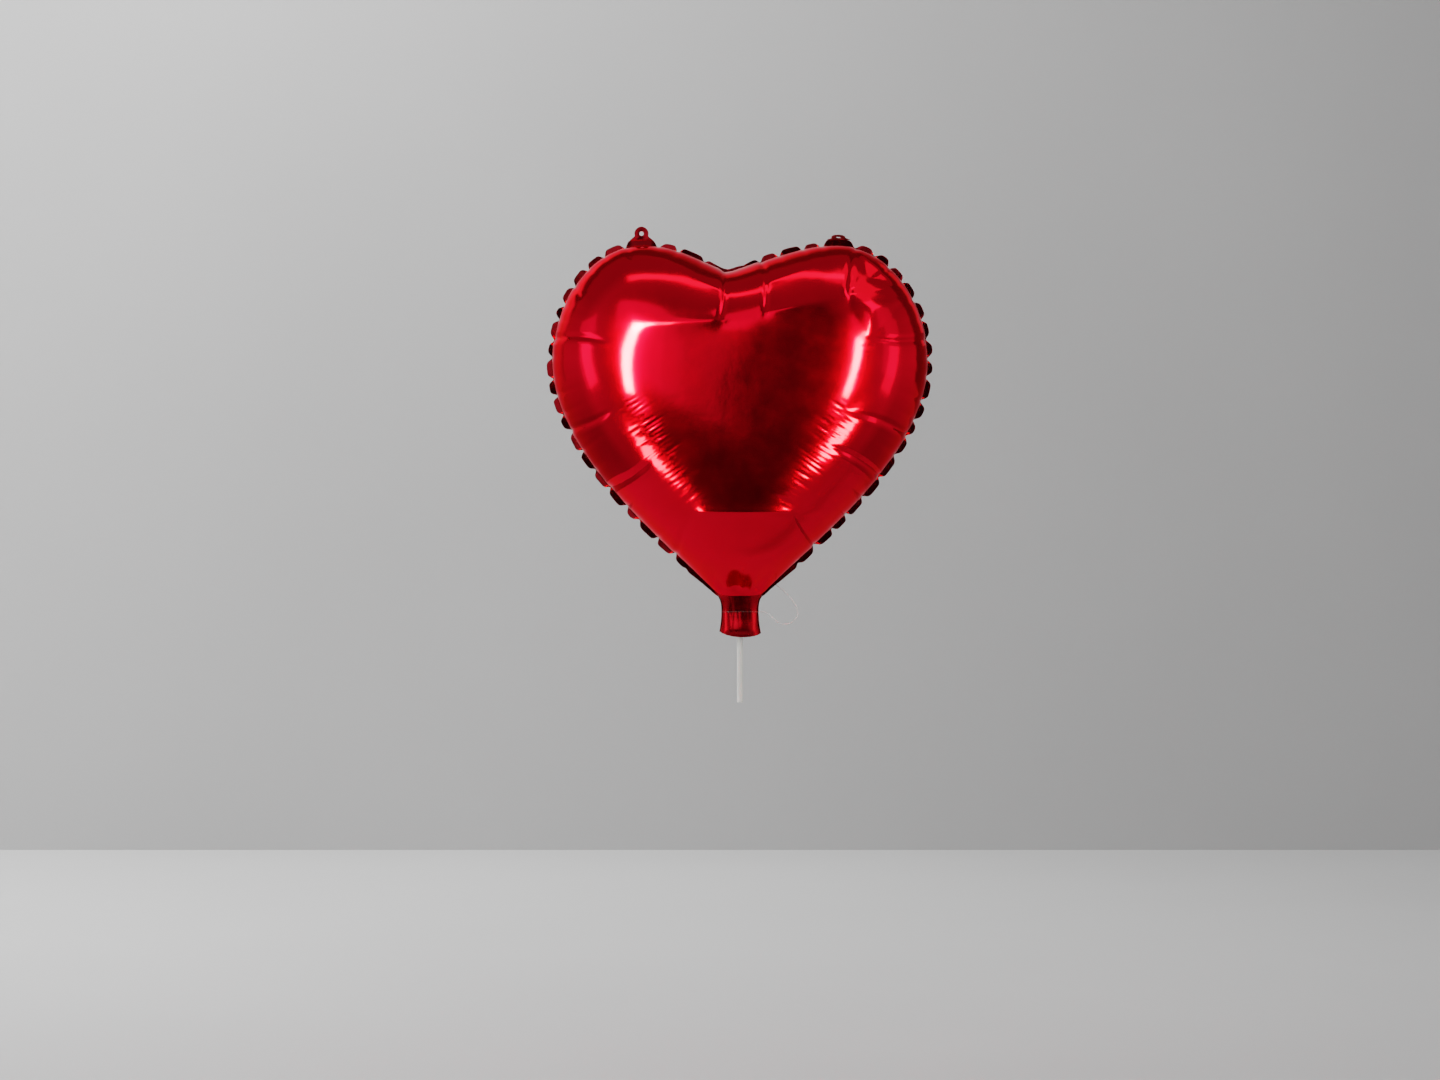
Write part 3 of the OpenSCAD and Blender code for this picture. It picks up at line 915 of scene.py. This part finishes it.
for ob, node, body, slot in (
    (seam_flange, "seam_band", "envelope", "seam_foil"),
    (neck_front, "neck_front", "envelope", "neck_foil"),
    (neck_rear, "neck_rear", "envelope", "neck_foil"),
    (neck_welds, "neck_seams", "envelope", "seam_foil"),
    (left_tab, "left_tab", "left_tab", "tab_foil"),
    (right_tab, "right_tab", "right_tab", "tab_foil"),
):
    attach(ob, body)
    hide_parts(node)

# --- Materials ------------------------------------------------------------------------


def material(name, **sockets):
    """A Principled material with these socket values, spaces written as underscores."""
    mat = bpy.data.materials.new(name)
    mat.use_nodes = True
    nodes, links = mat.node_tree.nodes, mat.node_tree.links
    shader = next(n for n in nodes if n.type == "BSDF_PRINCIPLED")
    for key, value in sockets.items():
        shader.inputs[key.replace("_", " ")].default_value = value
    return mat, nodes, links, shader


def noise(nodes, links, scale, detail=2.0, rough=0.5, stretch=(1, 1, 1)):
    """A noise over the object's own coordinates, and its mapping."""
    at = nodes.new("ShaderNodeTexCoord")
    mapping = nodes.new("ShaderNodeMapping")
    mapping.inputs["Scale"].default_value = stretch
    n = nodes.new("ShaderNodeTexNoise")
    n.inputs["Scale"].default_value = scale
    n.inputs["Detail"].default_value = detail
    n.inputs["Roughness"].default_value = rough
    links.new(at.outputs["Object"], mapping.inputs["Vector"])
    links.new(mapping.outputs["Vector"], n.inputs["Vector"])
    return n


def ramp(nodes, links, fac, stops):
    """The colour that a ramp gives for a value, with stops of (position, colour)."""
    r = nodes.new("ShaderNodeValToRGB")
    while len(r.color_ramp.elements) < len(stops):
        r.color_ramp.elements.new(0.5)
    for e, (pos, colour) in zip(r.color_ramp.elements, stops):
        e.position = pos
        e.color = (*colour, 1)
    links.new(fac, r.inputs["Fac"])
    return r.outputs["Color"]


def grey(v):
    return (v, v, v)


def bump(nodes, links, shader, height, strength, distance, below=None):
    b = nodes.new("ShaderNodeBump")
    b.inputs["Strength"].default_value = strength
    b.inputs["Distance"].default_value = distance
    links.new(height, b.inputs["Height"])
    if below is not None:
        links.new(below.outputs["Normal"], b.inputs["Normal"])
    links.new(b.outputs["Normal"], shader.inputs["Normal"])
    return b


def foil(name, dark, light, rough, fine=0.16):
    """Red metallised film: a mirror under a clear coat, a little uneven in tint and in gloss."""
    mat, nodes, links, shader = material(
        name, Metallic=1.0, Specular_Tint=(1.0, 0.4, 0.42, 1.0),
        Coat_Weight=0.09, Coat_Roughness=0.1, Coat_IOR=1.5,
    )
    tint = noise(nodes, links, 18, 3)
    tints = ramp(nodes, links, tint.outputs["Fac"], ((0.3, dark), (0.7, light)))
    links.new(tints, shader.inputs["Base Color"])
    haze = noise(nodes, links, 45, 4, 0.6)
    gloss = ramp(nodes, links, haze.outputs["Fac"], ((0.3, grey(rough[0])), (0.75, grey(rough[1]))))
    links.new(gloss, shader.inputs["Roughness"])
    ripple = noise(nodes, links, 60, 2, 0.4)
    low = bump(nodes, links, shader, ripple.outputs["Fac"], fine, 0.6 * MM)
    grain = noise(nodes, links, 420, 3, 0.6, (1, 1, 0.35))
    bump(nodes, links, shader, grain.outputs["Fac"], 0.10, 0.08 * MM, low)
    return mat


front_mat = foil("front_foil", (0.80, 0.001, 0.016), (0.87, 0.002, 0.021), (0.10, 0.14))
rear_mat = foil("rear_foil", (0.80, 0.001, 0.016), (0.87, 0.002, 0.021), (0.10, 0.15))
# The neck is the same film as the panels; its darker base colour is painted shade.
neck_shaded_mat = foil("neck_foil", (0.40, 0.001, 0.008), (0.48, 0.002, 0.011), (0.22, 0.32), 0.35)
# The seam flange and the neck's welds are the same film too; their much darker base colour is painted
# shade, for the darker reflections along the curled flange.
seam_shaded_mat = foil("seam_foil", (0.13, 0.001, 0.005), (0.20, 0.002, 0.008), (0.16, 0.26), 0.3)
# The tabs are the same film as well; their dark base colour is painted shade.
tab_shaded_mat = foil("tab_foil", (0.16, 0.001, 0.005), (0.24, 0.002, 0.008), (0.16, 0.28), 0.4)


def dress(ob, mat):
    ob.data.materials.clear()
    ob.data.materials.append(mat)


for ob, mat in (
    (front, front_mat),
    (rear, rear_mat),
    (seam_flange, seam_shaded_mat),
    (neck_front, neck_shaded_mat),
    (neck_rear, neck_shaded_mat),
    (neck_welds, seam_shaded_mat),
    (left_tab, tab_shaded_mat),
    (right_tab, tab_shaded_mat),
):
    dress(ob, mat)


def clear_plastic(name, shades, rough, through, scale, alpha=1.0):
    """Clear or milky plastic: thin, glossy, with faint clouds between its two greys."""
    mat, nodes, links, shader = material(name, IOR=1.45, Transmission_Weight=through, Alpha=alpha)
    clouds = noise(nodes, links, scale, 3).outputs["Fac"]
    for (low, high), socket in ((shades, "Base Color"), (rough, "Roughness")):
        links.new(ramp(nodes, links, clouds, ((0.3, grey(low)), (0.7, grey(high)))), shader.inputs[socket])
    bump(nodes, links, shader, clouds, 0.15, 0.1 * MM)
    return mat


straw_mat = clear_plastic("straw_plastic", (0.90, 0.97), (0.28, 0.36), 0.0, 30, alpha=0.5)
film_mat = clear_plastic("valve_film", (0.84, 0.92), (0.12, 0.3), 0.85, 140)
weld_mat = clear_plastic("valve_weld", (0.80, 0.90), (0.25, 0.4), 0.7, 300)
thread_mat = clear_plastic("nylon_thread", (0.90, 0.97), (0.05, 0.15), 0.5, 400, alpha=0.45)
tie_mat = clear_plastic("nylon_tie", (0.80, 0.90), (0.05, 0.15), 0.5, 400, alpha=0.06)
for ob, mat in (
    (NODES["straw"], straw_mat),
    (NODES["valve_front_film"], film_mat),
    (NODES["valve_rear_film"], film_mat),
    (NODES["valve_edge_seals"], weld_mat),
    (hanging_loop, thread_mat),
    (waist_tie, tie_mat),
    (tie_knot, thread_mat),
):
    dress(ob, mat)

# --- Light ------------------------------------------------------------------------------

CENTRE = Vector((0, 0, 230 * MM))


def softbox(name, azimuth, elevation, away, size, glow, colour, roll):
    """A soft rectangular lamp that faces the balloon, as bright as glow times white paper.
    Azimuth 0 is on the camera's side and positive to the picture's left, in degrees. roll
    turns the lamp in its own plane."""
    lamp = bpy.data.lights.new(name, "AREA")
    lamp.shape = "RECTANGLE"
    lamp.size, lamp.size_y = size
    lamp.energy = glow * math.pi * size[0] * size[1]
    lamp.color = colour
    ob = bpy.data.objects.new(name, lamp)
    a, e = math.radians(azimuth), math.radians(elevation)
    way = Vector((-math.sin(a) * math.cos(e), -math.cos(a) * math.cos(e), math.sin(e)))
    ob.location = CENTRE + way * away
    ob.rotation_euler = (way.to_track_quat("Z", "Y") @ Quaternion((0, 0, 1), math.radians(roll))).to_euler()
    ob.visible_camera = False
    bpy.context.scene.collection.objects.link(ob)


WHITE = (1.0, 1.0, 1.0)
WARM = (1.0, 0.98, 0.28)                 # the film's red is a little blue, so this gives white
SOFT_WARM = (1.0, 1.0, 0.6)
# name, azimuth, elevation, distance, size, glow, colour, roll
LAMPS = (
    ("key", 29, 11.5, 1.4, (0.14, 0.68), 130, WARM, 3),
    ("key_bend", 25.5, 21, 1.4, (0.26, 0.16), 75, WARM, 38),
    ("key_glow", 27, 13, 1.45, (0.34, 1.0), 1.1, WHITE, 0),
    # a glow that fades from the key towards the camera
    *((f"key_wide_{k}", 22 - 3.0 * k, 15, 1.5, (0.30 + 0.12 * k, 0.62 + 0.06 * k), 0.36, WHITE, 0)
      for k in range(4)),
    ("key_low", 33, -21, 1.4, (0.25, 0.28), 42, WARM, 0),
    ("side_low", -33, -16, 1.4, (0.30, 0.24), 60, WARM, 0),
    ("top", 20, 23, 1.4, (0.56, 0.26), 24, WARM, 0),
    ("top_glow", 20, 31, 1.45, (1.0, 0.5), 0.8, WHITE, 0),
    ("side", -29.5, 6.5, 1.4, (0.12, 0.50), 90, WARM, -22),
    ("side_bend", -36.5, 17.5, 1.4, (0.09, 0.20), 50, WARM, -60),
    ("side_glow", -30, 10, 1.45, (0.26, 0.9), 0.8, WHITE, -22),
    ("fill_left", 66, 10, 2.2, (0.8, 1.3), 0.5, WHITE, 20),
    ("fill_left_core", 64, 5, 2.2, (0.50, 0.88), 2.2, SOFT_WARM, 24),
    ("fill_right", -64, 14, 2.2, (0.7, 1.2), 0.3, WHITE, -18),
    ("fill_right_core", -64, 4, 2.2, (0.5, 1.0), 1.5, SOFT_WARM, -20),
    ("shoulder", -54, 36, 1.8, (0.56, 0.56), 3.6, (1.0, 0.95, 0.6), 20),
    ("shoulder_high", -62, 60, 1.8, (1.0, 0.8), 1.1, SOFT_WARM, 10),
    ("overhead", 100, 80, 2.8, (3.0, 3.0), 0.35, WHITE, 0),
    ("ceiling_strip", 0, 70, 1.9, (1.7, 0.24), 3.8, (1.0, 1.0, 0.5), 0),
    *((f"back_{turn}", turn, 25, 2.2, (0.5, 1.2), 0.45, WHITE, 0) for turn in (-140, 140)),
    ("rear_key", 152, 16, 1.4, (0.14, 0.80), 70, WARM, 0),
    ("rear_side", -148, 12, 1.4, (0.10, 0.60), 60, WARM, 0),
    ("rear_top", 158, 34, 1.5, (0.7, 0.14), 12, SOFT_WARM, 0),
    ("straw_light", 25, 0, 1.5, (0.5, 0.8), 2.5, WHITE, 0),
)
for lamp in LAMPS:
    softbox(*lamp)
bpy.data.objects["overhead"].visible_glossy = False

# A lamp over the wall that the film doesn't mirror.
wall_lamp = bpy.data.lights.new("wall_wash", "AREA")
wall_lamp.shape = "RECTANGLE"
wall_lamp.energy = 200
wall_lamp.size, wall_lamp.size_y = 5.0, 1.0
wall_wash = bpy.data.objects.new("wall_wash", wall_lamp)
wall_wash.location = (-2.9, 1.1, 3.0)
wall_wash.rotation_euler = (math.radians(22), 0, 0)
wall_wash.visible_camera = wall_wash.visible_glossy = False
bpy.context.scene.collection.objects.link(wall_wash)

world = bpy.data.worlds.new("studio")
bpy.context.scene.world = world
world.use_nodes = True
wn, wl = world.node_tree.nodes, world.node_tree.links
at = wn.new("ShaderNodeTexCoord")
split = wn.new("ShaderNodeSeparateXYZ")
wl.new(at.outputs["Generated"], split.inputs["Vector"])


def sky_ramp(axis, *stops):
    """A grey along one axis of the sky, from -1 (position 0) to 1 (position 1)."""
    spread = wn.new("ShaderNodeMapRange")
    spread.inputs["From Min"].default_value = -1
    spread.inputs["From Max"].default_value = 1
    wl.new(split.outputs[axis], spread.inputs["Value"])
    return ramp(wn, wl, spread.outputs["Result"], [(pos, grey(shade)) for pos, shade in stops])


# Dark on the camera's side, and darker below the horizon and overhead.
front_back = sky_ramp("Y", (0.0, 0.045), (0.06, 0.07), (0.15, 0.42), (0.29, 0.68), (0.42, 0.5), (1.0, 0.60))
low_high = sky_ramp("Z", (0.25, 0.31), (0.55, 0.85), (0.68, 0.62), (0.80, 0.42), (0.95, 0.38))
dim = wn.new("ShaderNodeVectorMath")
dim.operation = "SCALE"
wl.new(front_back, dim.inputs["Vector"])
wl.new(low_high, dim.inputs["Scale"])
path = wn.new("ShaderNodeLightPath")
seen = wn.new("ShaderNodeMixRGB")
seen.inputs["Color2"].default_value = (0.45, 0.45, 0.45, 1)      # what the camera sees behind
wl.new(path.outputs["Is Camera Ray"], seen.inputs["Fac"])
wl.new(dim.outputs["Vector"], seen.inputs["Color1"])
wl.new(seen.outputs["Color"], wn["Background"].inputs["Color"])

# --- Floor and wall ----------------------------------------------------------------------

FLOOR_Z = -0.453
FLOOR_FRONT = -1.2
FLOOR_SIDE = 0.9
WALL_Y = 2.6
ROOM_SIDE = 7
ROOM_TOP = 6


def slab(name, corners, dark, light):
    ob = new_mesh(name, corners, [(0, 1, 2, 3)], smooth=False)
    mat, nodes, links, shader = material(name, Roughness=0.9, Specular_IOR_Level=0.1)
    clouds = noise(nodes, links, 0.8, 3).outputs["Fac"]
    paint = ramp(nodes, links, clouds, ((0.3, grey(dark)), (0.7, grey(light))))
    links.new(paint, shader.inputs["Base Color"])
    dress(ob, mat)
    return ob


def floor(name, x0, x1, y0, y1):
    corners = [(x, y, FLOOR_Z) for x, y in ((x0, y0), (x1, y0), (x1, y1), (x0, y1))]
    return slab(name, corners, 0.50, 0.53)


floor("floor", -FLOOR_SIDE, FLOOR_SIDE, FLOOR_FRONT, WALL_Y)
# The film mirrors only the middle of the floor, as it would over a table.
for name, *edges in (
    ("floor_front", -ROOM_SIDE, ROOM_SIDE, -ROOM_SIDE, FLOOR_FRONT),
    ("floor_left", -ROOM_SIDE, -FLOOR_SIDE, FLOOR_FRONT, WALL_Y),
    ("floor_right", FLOOR_SIDE, ROOM_SIDE, FLOOR_FRONT, WALL_Y),
):
    floor(name, *edges).visible_glossy = False
wall_corners = ((-ROOM_SIDE, FLOOR_Z), (ROOM_SIDE, FLOOR_Z), (ROOM_SIDE, ROOM_TOP), (-ROOM_SIDE, ROOM_TOP))
slab("wall", [(x, WALL_Y, z) for x, z in wall_corners], 0.50, 0.54)

# The strips and their glows light the front panel only.
STRIPS = ("key", "key_bend", "key_low", "side", "side_bend", "side_low", "key_glow", "side_glow", "top")


def link_lamp(lamp, state, obs):
    """With INCLUDE the lamp lights only these objects, and with EXCLUDE all but these."""
    group = bpy.data.collections.new(lamp.name)
    for ob in obs:
        group.objects.link(ob)
    for item in group.collection_objects:
        item.light_linking.link_state = state
    lamp.light_linking.receiver_collection = group


scene_objects = bpy.context.scene.objects
room = [ob for ob in scene_objects if ob.name.startswith(("floor", "wall")) and ob.type == "MESH"]
small = [hanging_loop, waist_tie, tie_knot, NODES["straw"]]
trim = [neck_front, neck_rear, neck_welds, seam_flange, left_tab, right_tab, *small]
for ob in [ob for ob in scene_objects if ob.type == "LIGHT"]:
    if ob.name in STRIPS:
        link_lamp(ob, "EXCLUDE", [rear] + trim + room)
    elif ob.name.startswith("rear_"):
        link_lamp(ob, "INCLUDE", [rear])
    elif ob.name == "straw_light":
        link_lamp(ob, "INCLUDE", [hanging_loop, NODES["straw"]])
    elif ob.name not in ("wall_wash", "overhead"):
        link_lamp(ob, "EXCLUDE", room)

view = bpy.context.scene.view_settings
view.view_transform = "Filmic"
view.look = "Medium High Contrast"
view.exposure = 0.2

# --- Done ----------------------------------------------------------------------------------

for ob, node in ((hanging_loop, "thread_loop"), (waist_tie, "thread_tie"), (tie_knot, "thread_knot")):
    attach(ob, "envelope")
    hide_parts(node)
